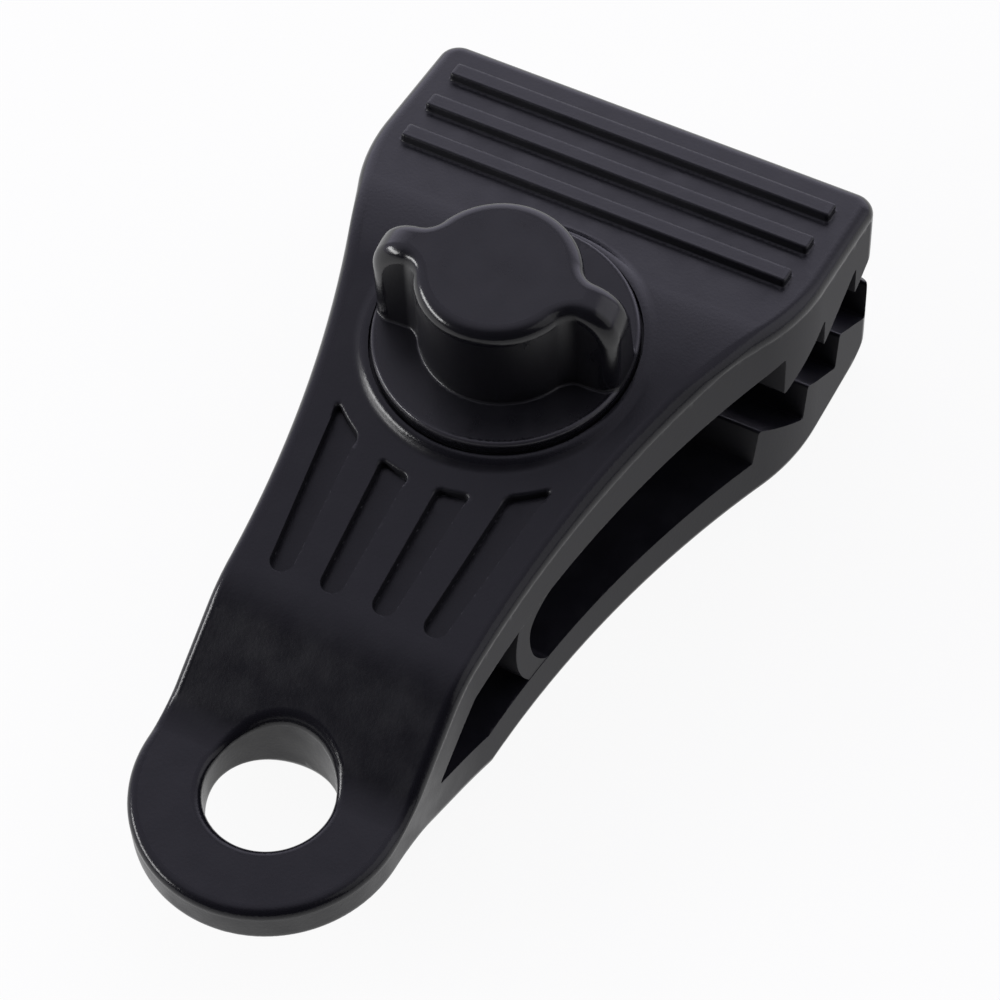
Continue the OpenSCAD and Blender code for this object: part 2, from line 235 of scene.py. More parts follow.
ball_step = 0.1
ball_axis = np.arange(-1.25, 1.25, ball_step)
ball_values = ball(ball_axis[:, None, None], ball_axis[None, :, None], ball_axis[None, None, :])
print("the ball is crossed at", len(crossings(ball_values, [ball_axis] * 3)[0]), "points")


# %% Points and quads of the cells
def surface_cells(field, values, axes, hold=0.1):
    """One point for each grid cell that the surface crosses, and the quads between them."""
    points, rings = crossings(values, axes)
    cells, rings = np.unique(rings, return_inverse=True)
    owner = rings.reshape(len(points), 4).T.ravel()
    points = settle(field, points, 1)
    _, way = slope_of(field, points)
    points, way = np.tile(points, (4, 1)), np.tile(way, (4, 1))

    def total(weights):
        return np.bincount(owner, weights, len(cells))

    middle = np.stack([total(points[:, i]) for i in range(3)], 1) / np.bincount(owner)[:, None]
    height = np.sum(way * (points - middle[owner]), 1)
    planes = np.empty((len(cells), 3, 3))
    for i in range(3):
        for j in range(3):
            planes[:, i, j] = total(way[:, i] * way[:, j])
    pull = np.stack([total(way[:, i] * height) for i in range(3)], 1)
    move = np.linalg.solve(planes + hold * np.eye(3), pull[:, :, None])[:, :, 0]
    step = axes[0][1] - axes[0][0]
    return middle + np.clip(move, -step, step), owner.reshape(4, -1).T


print("the ball gets", len(surface_cells(ball, ball_values, [ball_axis] * 3)[0]), "points")

# %% [markdown]
# ## Edges and normals
# Smooth shading by Blender alone would smear the light over small edges. So the normals come from the
# formula, which keeps the shine of round edges even and sharp edges crisp. How tightly the formula bends
# at a point says how round the edge is there, and that number is stored with the mesh, so that the finish
# can polish the edges later. Edges sharper than a limit, and those that no hand reaches, get none.

# %% Roundness and normals
def roundness(field, points, h=0.25):
    """How tightly a surface curves outwards, as one over its radius in millimetres."""
    around = sum(field(*(points + h * axis).T) + field(*(points - h * axis).T) for axis in np.eye(3))
    return (around - 6 * field(*points.T)) / h ** 2


def unrubbed(x, y, z):
    """A field without edges, for a piece that no hand reaches."""
    return 0 * (x + y + z)


def shade(thing, field, rubbed_field, sharp_curve, inset=0.05, inset_share=0.3, fade=2.0):
    """Settles the points, stores how rounded each one's edge is, and takes the normals from the field."""
    mesh = thing.data
    places = np.empty(len(mesh.vertices) * 3)
    mesh.vertices.foreach_get("co", places)
    places = settle(field, places.reshape(-1, 3) / MM)
    mesh.vertices.foreach_set("co", (places * MM).ravel())
    curve = roundness(rubbed_field, places) * (np.abs(rubbed_field(*places.T)) < inset)
    rounded_edge = np.maximum(curve, 0) * np.clip((sharp_curve - curve) / fade, 0, 1)
    edge = mesh.attributes.new("edge", "FLOAT", "POINT")
    edge.data.foreach_set("value", rounded_edge.astype(np.float32))
    corner = np.empty(len(mesh.loops), np.int32)
    mesh.loops.foreach_get("vertex_index", corner)
    centre = np.repeat(places[corner].reshape(-1, 3, 3).mean(1), 3, 0)
    inward = centre - places[corner]
    length = np.linalg.norm(inward, axis=1)[:, None]
    share = np.minimum(inset / np.maximum(length, inset), inset_share)
    _, way = slope_of(field, places[corner] + inward * share)
    mesh.polygons.foreach_set("use_smooth", [True] * len(mesh.polygons))
    mesh.normals_split_custom_set(way)


print("the ball bends by", roundness(ball, settle(ball, near_ball)).round(2).tolist(), "in two directions")

# %% [markdown]
# ## A skin for each piece
# Each piece is now one call: values on a grid, points and quads, and a mesh. Flat stretches need few
# faces, so a Decimate modifier thins them out before the normals are set.

# %% Skin
def skin(name, field, low, high, step, keep, rubbed_field, sharp_curve=7.0, margin=2):
    """Object whose surface is where the field is zero, in millimetres, worn where rubbed_field is round."""
    axes = [np.arange(a - margin * step, b + (margin + 1) * step, step) for a, b in zip(low, high)]
    values = field(axes[0][:, None, None], axes[1][None, :, None], axes[2][None, None, :])
    points, quads = surface_cells(field, np.broadcast_to(values, [len(a) for a in axes]), axes)
    mesh = bpy.data.meshes.new(name)
    mesh.from_pydata(points * MM, [], quads)
    thing = bpy.data.objects.new(name, mesh)
    bpy.context.scene.collection.objects.link(thing)
    thinner = thing.modifiers.new("thinner", "DECIMATE")
    thinner.ratio = keep
    thinner.use_collapse_triangulate = True
    thinned = thing.evaluated_get(bpy.context.evaluated_depsgraph_get())
    thing.data = bpy.data.meshes.new_from_object(thinned)
    thing.modifiers.clear()
    bpy.data.meshes.remove(mesh)
    thing.data.name = name
    shade(thing, field, rubbed_field, sharp_curve)
    print(name, "has", len(thing.data.vertices), "points and", len(thing.data.polygons), "faces")
    return thing


# %% [markdown]
# ## The outline from above
# Seen from above, the clip is a round tail, a straight neck, a hollow flare, a rounded shoulder and
# straight sides. The flare and the shoulder are arcs that run into each other, so the distance to each is
# the distance to the centre of its circle.

# %% Outline from above
jaw_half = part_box("upper_jaw")[1].y / MM
jaw_tip_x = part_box("upper_jaw")[1].x / MM
tail_r = -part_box("tail_eye")[0].x / MM
flare_start_x = 10.3
side_start_x = 58.4
shoulder_r = 19.9
corner_r = 2.0
flare_turn = 2 * math.atan((jaw_half - tail_r) / (side_start_x - flare_start_x))
waist_r = (side_start_x - flare_start_x) / math.sin(flare_turn) - shoulder_r
waist = (flare_start_x, tail_r + waist_r)
shoulder = (side_start_x, jaw_half - shoulder_r)


def plan_field(x, y):
    """Distance from the outline seen from above."""
    y = np.abs(y)
    tail = np.hypot(x, y) - tail_r
    hollow = waist_r - np.hypot(x - waist[0], y - waist[1])
    round_part = np.hypot(x - shoulder[0], y - shoulder[1]) - shoulder_r
    before = (x - waist[0]) * (shoulder[1] - waist[1]) - (y - waist[1]) * (shoulder[0] - waist[0]) > 0
    side = np.where(x < side_start_x, np.where(before, hollow, round_part), y - jaw_half)
    side = np.where(x < flare_start_x, y - tail_r, side)
    side = np.where(x < 0, tail, side)
    return both(side, x - jaw_tip_x, corner_r)


print("width at the shoulder", round(2 * jaw_half, 2), "mm, flare radius", round(waist_r, 1), "mm")

# %% [markdown]
# ## The side view
# From the side the top runs level over the tail, climbs a slope, bends over a soft crest, rises gently to
# a brow and falls along the thumb pad. Each stretch is a straight line, and the soft joins between them
# are what catches the light on the real clip. Below, the tail thickens to a heel, and the toe turns up.

# %% Outer side view
tail_top = 2.0
slope_foot = (2.5, tail_top)
crest = (12.0, 8.5)
brow = (44.0, 13.5)
pad_start = (56.0, 12.8)
pad_end = (jaw_tip_x, 11.1)
bottom_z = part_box("lower_jaw")[0].z / MM
heel = (15.4, bottom_z)
toe_r = 5.0
toe_front_x = 70.7
foot_softness, crest_softness, brow_softness, heel_softness = 0.9, 0.9, 1.3, 0.5
tail_edge_r, top_edge_r, low_edge_r = 0.85, 1.3, 0.7
edge_grows_x = (5.0, 35.0)


def outer_field(x, y, z):
    """The clip without its gaps and details, with rounded outer edges."""
    climb = either(z - tail_top, slope_field(x, z, slope_foot, crest), foot_softness)
    top = softly(climb, slope_field(x, z, crest, brow), crest_softness)
    top = both(top, slope_field(x, z, pad_start, pad_end), brow_softness)
    heel_slope = -slope_field(x, z, (slope_foot[0], -tail_top), heel)
    low = either(-tail_top - z, heel_slope, foot_softness)
    low = both(low, bottom_z - z, heel_softness)
    low = both(low, x - toe_front_x, toe_r)
    share = np.clip((x - edge_grows_x[0]) / (edge_grows_x[1] - edge_grows_x[0]), 0, 1)
    block = both(plan_field(x, y), top, tail_edge_r + share * (top_edge_r - tail_edge_r))
    return both(block, low, low_edge_r)


print("height of the moulding", round(brow[1] - bottom_z, 1), "mm")

# %% [markdown]
# ## The gap between the jaws
# The two jaws are parted by one long gap that ends in a narrow slit near the tail. Its front is a row of
# saw teeth above and below, which bite into the tarp. The outline of the gap is drawn once, with a small
# radius on every corner, and cut out of the outer shape. The cut's own edges along the sides stay crisp,
# because the parts of the mould meet there.

# %% Gap with its teeth
slit_tip = (7.4, 0.1)
face_back, lower_ridge_z = (15.2, -3.8), 0.3
under_back, under_bend, under_front_z = (13.6, 4.2), (26.0, 5.5), 7.9
upper_tip_z, upper_root_z, tooth_flat = 3.1, 6.6, 0.3
tooth_pitch, tooth_lean = 6.3, 0.6
upper_tooth_x, lower_tooth_x = 52.9, 50.2
tooth_r = 0.28
crisp_r = 0.03
gap_margin = 4
beyond_x = jaw_tip_x + gap_margin
lower_xs = [lower_tooth_x + i * tooth_pitch for i in range(4)]
upper_xs = [upper_tooth_x + i * tooth_pitch for i in range(3)]
lower_fall = (lower_ridge_z - face_back[1]) / (tooth_pitch - tooth_lean)
upper_rise = (upper_root_z - upper_tip_z) / (tooth_pitch - tooth_flat)
gap_corners = [slit_tip, face_back]
for tooth_x in lower_xs:
    gap_corners += [(tooth_x - tooth_lean, face_back[1]), (tooth_x, lower_ridge_z)]
gap_corners.append((beyond_x, lower_ridge_z - lower_fall * (beyond_x - lower_xs[-1])))
gap_corners.append((beyond_x, upper_tip_z + upper_rise * (beyond_x - upper_xs[-1] - tooth_flat)))
for tooth_x in reversed(upper_xs):
    root_z = under_front_z if tooth_x == upper_tooth_x else upper_root_z
    gap_corners += [(tooth_x + tooth_flat, upper_tip_z), (tooth_x, upper_tip_z), (tooth_x, root_z)]
gap_corners += [under_bend, under_back]
gap_outline = rounded(gap_corners, tooth_r)


def gap_field(x, z):
    """The space between the jaws in the side view."""
    return polygon_field(x, z, gap_outline)


print("the gap has", len(gap_outline), "outline points and", len(lower_xs) + len(upper_xs), "teeth")

# %% [markdown]
# ## The seat and its collar
# The knob turns on a round seat that leans a little while the jaws are open. A low collar surrounds it.
# Both lean with the screw, so they are written in coordinates of their own, taken from the joint of the
# knob. A leaning cylinder could be cut out of a mesh as well, but its rim would then need a bevel that
# follows a slope.

# %% Coordinates of the seat
joints = {j["name"]: j for j in frame["joints"]}
seat_point = Vector(joints["knob_turn"]["pos_m"]) / MM
seat_way = -Vector(joints["knob_turn"]["axis"]).normalized()
seat_r, collar_r, collar_h, collar_depth = 11.45, 12.0, 0.6, 3.0
collar_edge_r, collar_fillet = 0.5, 0.9


def on_seat(x, y, z):
    """Coordinates along the seat: forwards, sideways and up the screw."""
    dx, dz = x - seat_point.x, z - seat_point.z
    return dx * seat_way.z - dz * seat_way.x, y, dx * seat_way.x + dz * seat_way.z


def disc_field(u, v, w, r, low, high, edge_r):
    """A round plate or post along w."""
    return both(np.hypot(u, v) - r, np.abs(w - (low + high) / 2) - (high - low) / 2, edge_r)


print("the seat leans by", round(math.degrees(math.asin(-seat_way.x)), 2), "degrees")

# %% [markdown]
# ## Grip bars
# Three raised bars on the thumb pad keep a thumb from slipping. They are alike, so one formula measures
# the distance to the nearest bar, and it does so along the pad, which falls towards the tip.

# %% Bars on the pad
bar_x, bar_pitch, bar_w, bar_h, bar_l = 57.05, 4.42, 1.7, 0.8, 36.6
bar_edge_r, bar_corner_r, bar_fillet = 0.22, 0.3, 0.12
last_bar = 2


def bar_field(x, y, z):
    """The raised bars on the thumb pad."""
    fall = math.atan2(pad_start[1] - pad_end[1], pad_end[0] - pad_start[0])
    above = slope_field(x, z, pad_start, pad_end)
    along = (x - pad_start[0]) * math.cos(fall) - (z - pad_start[1]) * math.sin(fall)
    step = bar_pitch / math.cos(fall)
    first = (bar_x - pad_start[0]) / math.cos(fall)
    nearest = np.clip(np.round((along - first) / step), 0, last_bar)
    across = np.abs(along - first - nearest * step) - bar_w / 2
    side = both(across, np.abs(y) - bar_l / 2, bar_corner_r)
    return both(side, np.abs(above) - bar_h, bar_edge_r)


print(last_bar + 1, "bars of", bar_l, "mm")

# %% [markdown]
# ## Slots
# Behind the knob four slots were sunk into the top, which keeps the plastic thin, so that it cools
# evenly. They fan out a little, widen towards the knob and end at a ring around it. Only that end has a
# soft rim. The two on the left mirror those on the right, so the formula folds the clip along its middle.

# %% Sunk slots
slot_x, slot_depth, slot_ring_r, slot_end_x = 15.7, 0.9, 14.8, 33.8
slot_low_half, slot_high_half = 1.05, 1.55
slot_end_r, slot_corner_r, slot_end_l, slot_end_start = 0.3, 0.5, 0.8, 1.5
slot_pairs = [(2.4, 0.5), (7.1, 1.75)]


def slot_field(x, y, z):
    """The four slots, which end at a ring around the seat."""
    y = np.abs(y)
    share = np.clip((x - slot_x) / (slot_end_x - slot_x), 0, 1)
    half = slot_low_half + share * (slot_high_half - slot_low_half)
    before = np.minimum(x - slot_x, 0)
    plan = np.inf
    for start_y, spread in slot_pairs:
        plan = np.minimum(plan, np.hypot(before, y - start_y - share * spread) - half)
    u, v, _ = on_seat(x, y, z)
    plan = both(plan, slot_ring_r - np.hypot(u, v), slot_corner_r)
    plan = np.maximum(plan, x - seat_point.x)
    return np.maximum(plan, -slope_field(x, z, crest, brow) - slot_depth)


print(2 * len(slot_pairs), "slots,", slot_depth, "mm deep")

# %% [markdown]
# ## The whole moulding
# Now the outer shape takes its collar and bars, and loses the eye, the gap, the seat, the slots, the hole
# for the screw and the six-sided pocket for the nut. A hand rubs only what stands proud, so wear is
# measured on the moulding before the gap and the slots are cut. The skin stands for four of the solids,
# because on the real clip they are one piece of plastic.

# %% Body of the clip
eye_r, eye_rim_r = 5.4, 0.75
hole_r = 3.3
nut_w, nut_h = 10.0, 3.2
nut_x = (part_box("captive_nut")[0].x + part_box("captive_nut")[1].x) / 2 / MM
nut_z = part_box("captive_nut")[0].z / MM
nut_room = 0.1


def hex_field(x, y, w):
    """A six-sided outline, w across its flats, with two corners along x."""
    slant = math.sqrt(3) / 2
    return np.maximum(np.abs(y), np.abs(x) * slant + np.abs(y) / 2) - w / 2


def uncut_field(x, y, z):
    """The moulding with its collar, bars and eye, before the gap and the slots are cut."""
    collar = disc_field(*on_seat(x, y, z), collar_r, -collar_depth, collar_h, collar_edge_r)
    body = either(outer_field(x, y, z), collar, collar_fillet)
    body = either(body, bar_field(x, y, z), bar_fillet)
    return without(body, np.hypot(x, y) - eye_r, eye_rim_r)


def body_field(x, y, z):
    """The whole moulding of tail and jaws."""
    body = without(uncut_field(x, y, z), gap_field(x, z), crisp_r)
    u, v, w = on_seat(x, y, z)
    rho = np.hypot(u, v)
    body = without(body, np.maximum(rho - seat_r, -w), crisp_r)
    near_end = np.clip((slot_ring_r - rho) / slot_end_l + slot_end_start, 0, 1)
    body = without(body, slot_field(x, y, z), crisp_r + (slot_end_r - crisp_r) * near_end)
    body = without(body, np.maximum(rho - hole_r, -w - seat_point.z), crisp_r)
    pocket = np.maximum(hex_field(x - nut_x, y, nut_w + 2 * nut_room), z - nut_z - nut_h)
    pocket = np.minimum(pocket, np.maximum(np.hypot(x - nut_x, y) - hole_r, z))
    return without(body, pocket, crisp_r)


body_low = (-tail_r, -jaw_half, bottom_z)
body_high = (jaw_tip_x, jaw_half, brow[1] + bar_h)
body_step = 0.26
body_keep = 0.35
body_sharp_curve = 2.8
clip_body = skin("clip_body", body_field, body_low, body_high, body_step, body_keep,
                 uncut_field, body_sharp_curve)
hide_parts("tail_eye", "lower_jaw", "flex_neck", "upper_jaw")

# %% [markdown]
# ## The spring web
# Between the jaws stands a thin curved web, moulded in one with both. It bends as the jaws close and
# pushes them open again, so it is a piece of its own here that stretches between the two halves. Its ends
# spread in fillets and sink a hair into the jaws, which hides the joint. No hand reaches in here, so
# nothing is worn.

# %% Web between the jaws
web_x, web_z, web_r, web_t = 20.9, 1.5, 8.5, 2.0
web_high_fillet, web_low_fillet, web_back_fillet = 2.6, 0.4, 0.2
web_foot = 4.5
web_sink = 0.3
web_inset = 0.05
web_flare = 2


def web_field(x, y, z):
    """The web with its spread ends, which lie a hair below the faces of the jaws."""
    from_centre = np.hypot(x - web_x - web_r, z - web_z)
    front = np.maximum(web_r - web_t / 2 - from_centre, x - web_x - web_r)
    back = from_centre - web_r - web_t / 2
    jaws = web_inset - gap_field(x, z)
    fillet = np.where(z > web_z, web_high_fillet, web_low_fillet)
    web = np.maximum(either(front, jaws, fillet), either(back, jaws, web_back_fillet))
    web = np.maximum(web, -jaws - web_sink)
    web = np.maximum(web, np.abs(x - web_x - web_t / 2) - web_foot)
    return both(web, plan_field(x, y) + web_inset, crisp_r)


web_low = (web_x - web_foot, -tail_r - web_flare, face_back[1] - 2 * web_sink)
web_high = (web_x + 2 * web_foot, tail_r + web_flare, under_bend[1] + 2 * web_sink)
web_step = 0.24
web_keep = 0.5
spring_web = skin("spring_web_skin", web_field, web_low, web_high, web_step, web_keep, unrubbed)
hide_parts("spring_web")

# %% [markdown]
# ## The thumb knob
# The knob is a cap on a round flange, with a wing on each side for finger and thumb. Cap and wings share
# one level top, and small hollow fillets join them, because a mould is cut with round tools. The wings
# stand on the flange with a crisp foot. The fingers rub every edge here, so wear follows the knob's own
# formula.

# %% Winged knob
knob_turn = math.radians(3.5)
flange_r, flange_low, flange_top, flange_edge_r = 11.35, 0.1, 1.75, 0.42
flange_draft = 0.05
cap_r, cap_draft, cap_top, cap_edge_r = 6.9, 0.3, 10.9, 1.2
wing_foot_t, wing_top_t, wing_r, wing_reach = 5.2, 3.6, 3.6, 11.05
wing_fillet, foot_fillet = 1.0, 0.2
head_w, head_low, head_high, core_r = 10.0, 4.3, 8.3, 2.4


def knob_frame(x, y, z):
    """Coordinates of the knob: across the wings, along the wings and up."""
    u, v, w = on_seat(x, y, z)
    c, s = math.cos(knob_turn), math.sin(knob_turn)
    return u * c + v * s, v * c - u * s, w


def knob_field(x, y, z):
    """The knob with its flange and wings."""
    u, v, w = knob_frame(x, y, z)
    rho = np.hypot(u, v)
    narrowing = flange_draft * np.clip((w - flange_low) / (flange_top - flange_low), 0, 1)
    flange = disc_field(u, v, w, flange_r, flange_low, flange_top, flange_edge_r)
    flange = both(rho - flange_r + narrowing, flange, flange_edge_r)
    share = (cap_top - w) / (cap_top - flange_top)
    half = (wing_top_t + (wing_foot_t - wing_top_t) * share) / 2
    side = either(rho - cap_r - cap_draft * share, np.abs(u) - half, wing_fillet)
    top = both(rho - wing_reach, w - cap_top, wing_r)
    grip = np.maximum(both(side, top, cap_edge_r), flange_low - w)
    return np.maximum(either(grip, flange, foot_fillet), core_r - rho - np.maximum(w - head_low, 0))


knob_low = [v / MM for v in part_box("thumb_knob")[0]]
knob_high = [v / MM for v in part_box("thumb_knob")[1]]
knob_step = 0.2
knob_keep = 0.4
thumb_knob = skin("thumb_knob_skin", knob_field, knob_low, knob_high, knob_step, knob_keep, knob_field)
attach(thumb_knob, "thumb_screw")
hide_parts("thumb_knob")

# %% [markdown]
# ## The screw and its nut
# Looking in from the side, the screw shows between the jaws, so it gets its thread. A thread is a ridge
# that climbs by one pitch each turn: the radius depends on the height and on the angle together. A thread
# swept along a helix would need its ends closed by hand, while this formula stops cleanly at the bevelled
# tip.

# %% Threaded screw
pitch = 1.0
root_r, ridge = 2.28, 0.28
flank, crown, groove = 1.2, 0.6, 0.4
shank_l, tip_bevel = 18.4, 0.7
head_edge_r = 0.3
screw_margin = 1
steel_step = 0.14
steel_keep = 0.4


def ridge_share(u, v, w):
    """How high the thread stands at a point, from the groove's share up to 1 on the ridge."""
    turn = (w / pitch - np.arctan2(v, u) / (2 * math.pi)) % 1
    return np.clip(0.5 + crown - flank * np.abs(2 * turn - 1), groove, 1)


def screw_field(x, y, z):
    """The screw with its thread and its six-sided head."""
    u, v, w = knob_frame(x, y, z)
    rho = np.hypot(u, v)
    shank = rho - np.where(w < 0, root_r + ridge * ridge_share(u, v, w), core_r)
    shank = np.maximum(shank, rho - core_r + tip_bevel - shank_l - w)
    shank = np.maximum(shank, np.maximum(w - head_low, -shank_l - w))
    middle = (head_low + head_high) / 2
    head = both(hex_field(u, v, head_w), np.abs(w - middle) - (head_high - head_low) / 2, head_edge_r)
    return np.minimum(shank, head)


screw_low = [v / MM - screw_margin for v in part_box("clamp_screw")[0]]
screw_high = [v / MM + screw_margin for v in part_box("clamp_screw")[1]]
clamp_screw = skin("clamp_screw_thread", screw_field, screw_low, screw_high, steel_step, steel_keep,
                   unrubbed)
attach(clamp_screw, "thumb_screw")
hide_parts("clamp_screw")

# %% [markdown]
# ## The nut
# The nut is cut from a six-sided bar. A lathe bevels its corners and opens its hole a little on both
# faces. The same ridge as on the screw, turned inwards, gives its thread.

# %% Six-sided nut
nut_hole_r, nut_groove, nut_countersink = 3.05, 0.03, 0.4
nut_bevel_r, nut_edge_r = 5.45, 0.12


def nut_field(x, y, z):
    """The nut with bevelled corners and a threaded hole."""
    dx, dz = x - nut_x, np.abs(z - nut_z - nut_h / 2) - nut_h / 2
    rho = np.hypot(dx, y)
    nut = both(hex_field(dx, y, nut_w), dz, nut_edge_r)
    nut = np.maximum(nut, (rho - nut_bevel_r) / 2 + dz)
    hole = rho - nut_hole_r + nut_groove * ridge_share(dx, y, z)
    hole = np.minimum(hole, rho - nut_hole_r - nut_countersink - dz)
    return np.maximum(nut, -hole)


nut_low = [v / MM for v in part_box("captive_nut")[0]]
nut_high = [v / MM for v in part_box("captive_nut")[1]]
captive_nut = skin("captive_nut_bevelled", nut_field, nut_low, nut_high, steel_step, steel_keep, unrubbed)
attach(captive_nut, "lower_half")
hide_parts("captive_nut")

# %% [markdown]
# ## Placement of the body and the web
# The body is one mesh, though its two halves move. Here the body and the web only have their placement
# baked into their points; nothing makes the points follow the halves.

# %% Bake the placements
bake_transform(clip_body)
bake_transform(spring_web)

# %% [markdown]
# ## Black plastic
# The moulding is dyed right through, so its colour is nearly black everywhere. What the eye sees is its
# surface: a fine spark-eroded grain, faint cloudy patches where the melt cooled unevenly, side walls that
# the mould dragged dull, and edges polished by handling. A picture of plastic would stretch over the
# slopes, so noise at two scales drives the roughness and a bump instead. The stored edge value smooths
# the wide round edges and lightens the tight ones, where they scuff.

# %% Nodes for the finishes
def add_node(material, kind, **settings):
    """A node of a material, with settings for its properties and its sockets."""
    node = material.node_tree.nodes.new(kind)
    for key, value in settings.items():
        if hasattr(node, key):
            setattr(node, key, value)
        else:
            node.inputs[key.replace("_", " ")].default_value = value
    return node


def noise(material, size_mm, detail=3.0, stretch=(1, 1, 1)):
    """Noise whose patches are about size_mm across."""
    link = material.node_tree.links.new
    place = add_node(material, "ShaderNodeTexCoord")
    spread = add_node(material, "ShaderNodeMapping", Scale=stretch)
    cloud = add_node(material, "ShaderNodeTexNoise", Scale=1 / (size_mm * MM), Detail=detail)
    link(place.outputs["Object"], spread.inputs["Vector"])
    link(spread.outputs["Vector"], cloud.inputs["Vector"])
    return cloud.outputs["Fac"]


def ranged(material, source, low, high, from_low=0.3, from_high=0.7):
    """A value spread from low to high."""
    node = add_node(material, "ShaderNodeMapRange", From_Min=from_low, From_Max=from_high,
                    To_Min=low, To_Max=high)
    material.node_tree.links.new(source, node.inputs["Value"])
    return node.outputs["Result"]


def mixed(material, kind, factor, a, b):
    """A mix of two values or two colours."""
    node = add_node(material, "ShaderNodeMix", data_type=kind)
    wanted = {"FLOAT": "VALUE", "RGBA": "RGBA"}[kind]
    sockets = [s for s in node.inputs if s.type == wanted and s.name in "AB"]
    link = material.node_tree.links.new
    link(factor, node.inputs["Factor"])
    for socket, value in zip(sockets, (a, b)):
        if isinstance(value, bpy.types.NodeSocket):
            link(value, socket)
        else:
            socket.default_value = value
    return next(s for s in node.outputs if s.type == sockets[0].type)


print("helpers for nodes:", [f.__name__ for f in (add_node, noise, ranged, mixed)])

# %% Plastic finish
cloud_mm, cloud_detail = 2.6, 5.0
grain_mm, grain_strength = 0.3, 0.6
rub_start, rub_full = 0.1, 0.6
scuff_start, scuff_full = 1.5, 3.0
wall_tilt, level_tilt = 0.15, 0.5
dull_start_mm, dull_full_mm = 4, 14


def plastic(name, dark, pale, worn, smooth, rough, wall_rough, polish, grain_depth_mm, shine):
    """Dyed plastic with mould grain, cloudy patches, duller side walls and polished edges."""
    material = bpy.data.materials.new(name)
    material.use_nodes = True
    link = material.node_tree.links.new
    shader = material.node_tree.nodes["Principled BSDF"]
    shader.inputs["Specular IOR Level"].default_value = shine
    clouds = noise(material, cloud_mm, cloud_detail)
    grain = noise(material, grain_mm)
    edge = add_node(material, "ShaderNodeAttribute", attribute_name="edge").outputs["Fac"]
    rubbed = ranged(material, edge, 0.0, 1.0, rub_start, rub_full)
    scuffed = ranged(material, edge, 0.0, 1.0, scuff_start, scuff_full)
    colour = mixed(material, "RGBA", clouds, dark, pale)
    link(mixed(material, "RGBA", scuffed, colour, worn), shader.inputs["Base Color"])
    place = add_node(material, "ShaderNodeTexCoord")
    facing = add_node(material, "ShaderNodeSeparateXYZ")
    along = add_node(material, "ShaderNodeSeparateXYZ")
    level = add_node(material, "ShaderNodeMath", operation="ABSOLUTE")
    wall = add_node(material, "ShaderNodeMath", operation="MULTIPLY")
    link(place.outputs["Normal"], facing.inputs["Vector"])
    link(place.outputs["Object"], along.inputs["Vector"])
    link(facing.outputs["Z"], level.inputs[0])
    link(ranged(material, level.outputs["Value"], 1.0, 0.0, wall_tilt, level_tilt), wall.inputs[0])
    past_tail = ranged(material, along.outputs["X"], 0.0, 1.0, dull_start_mm * MM, dull_full_mm * MM)
    link(past_tail, wall.inputs[1])
    cloudy = ranged(material, clouds, smooth, rough)
    dull = mixed(material, "FLOAT", wall.outputs["Value"], cloudy, wall_rough)
    link(mixed(material, "FLOAT", rubbed, dull, polish), shader.inputs["Roughness"])
    bump = add_node(material, "ShaderNodeBump", Strength=grain_strength, Distance=grain_depth_mm * MM)
    link(grain, bump.inputs["Height"])
    link(bump.outputs["Normal"], shader.inputs["Normal"])
    return material


print("plastic clouds of", cloud_mm, "mm and grain of", grain_mm, "mm")

# %% Plastic on the pieces
body_plastic = plastic(
    "moulded_black_plastic",
    dark=(0.0055, 0.0054, 0.0075, 1), pale=(0.0085, 0.0083, 0.0112, 1), worn=(0.018, 0.0175, 0.021, 1),
    smooth=0.28, rough=0.42, wall_rough=0.62, polish=0.2, grain_depth_mm=0.022, shine=0.3)
knob_plastic = plastic(
    "smooth_black_plastic",
    dark=(0.005, 0.005, 0.0066, 1), pale=(0.0075, 0.0073, 0.0095, 1), worn=(0.03, 0.029, 0.034, 1),
    smooth=0.26, rough=0.36, wall_rough=0.36, polish=0.18, grain_depth_mm=0.01, shine=0.4)
for piece, finish in ((clip_body, body_plastic), (spring_web, body_plastic), (thumb_knob, knob_plastic)):
    piece.data.materials.clear()
    piece.data.materials.append(finish)
print("finishes:", body_plastic.name, knob_plastic.name)

# %% [markdown]
# ## Plated steel
# The screw and the nut are zinc plated. Zinc is a bright metal with a soft, uneven shine, so the
# roughness changes in small patches and the colour drifts a little between grey and a warmer tone.

# %% Steel finish
zinc_grey, zinc_warm = (0.5, 0.5, 0.5, 1), (0.66, 0.64, 0.58, 1)
patch_mm, streak_mm, streak_detail, streak_stretch = 0.9, 0.2, 2.0, (1, 1, 5)
zinc_smooth, zinc_rough = 0.24, 0.42
plate_strength, plate_depth_mm = 0.3, 0.01


def plated_steel(name):
    """Zinc plate with uneven shine."""
    material = bpy.data.materials.new(name)
    material.use_nodes = True
    link = material.node_tree.links.new
    shader = material.node_tree.nodes["Principled BSDF"]
    shader.inputs["Metallic"].default_value = 1
    patches = noise(material, patch_mm)
    streaks = noise(material, streak_mm, streak_detail, streak_stretch)
    link(mixed(material, "RGBA", patches, zinc_grey, zinc_warm), shader.inputs["Base Color"])
    link(ranged(material, streaks, zinc_smooth, zinc_rough), shader.inputs["Roughness"])
    bump = add_node(material, "ShaderNodeBump", Strength=plate_strength, Distance=plate_depth_mm * MM)
    link(streaks, bump.inputs["Height"])
    link(bump.outputs["Normal"], shader.inputs["Normal"])
    return material


zinc = plated_steel("zinc_plated_steel")
for piece in (clamp_screw, captive_nut):
    piece.data.materials.clear()
    piece.data.materials.append(zinc)
print("finish:", zinc.name)
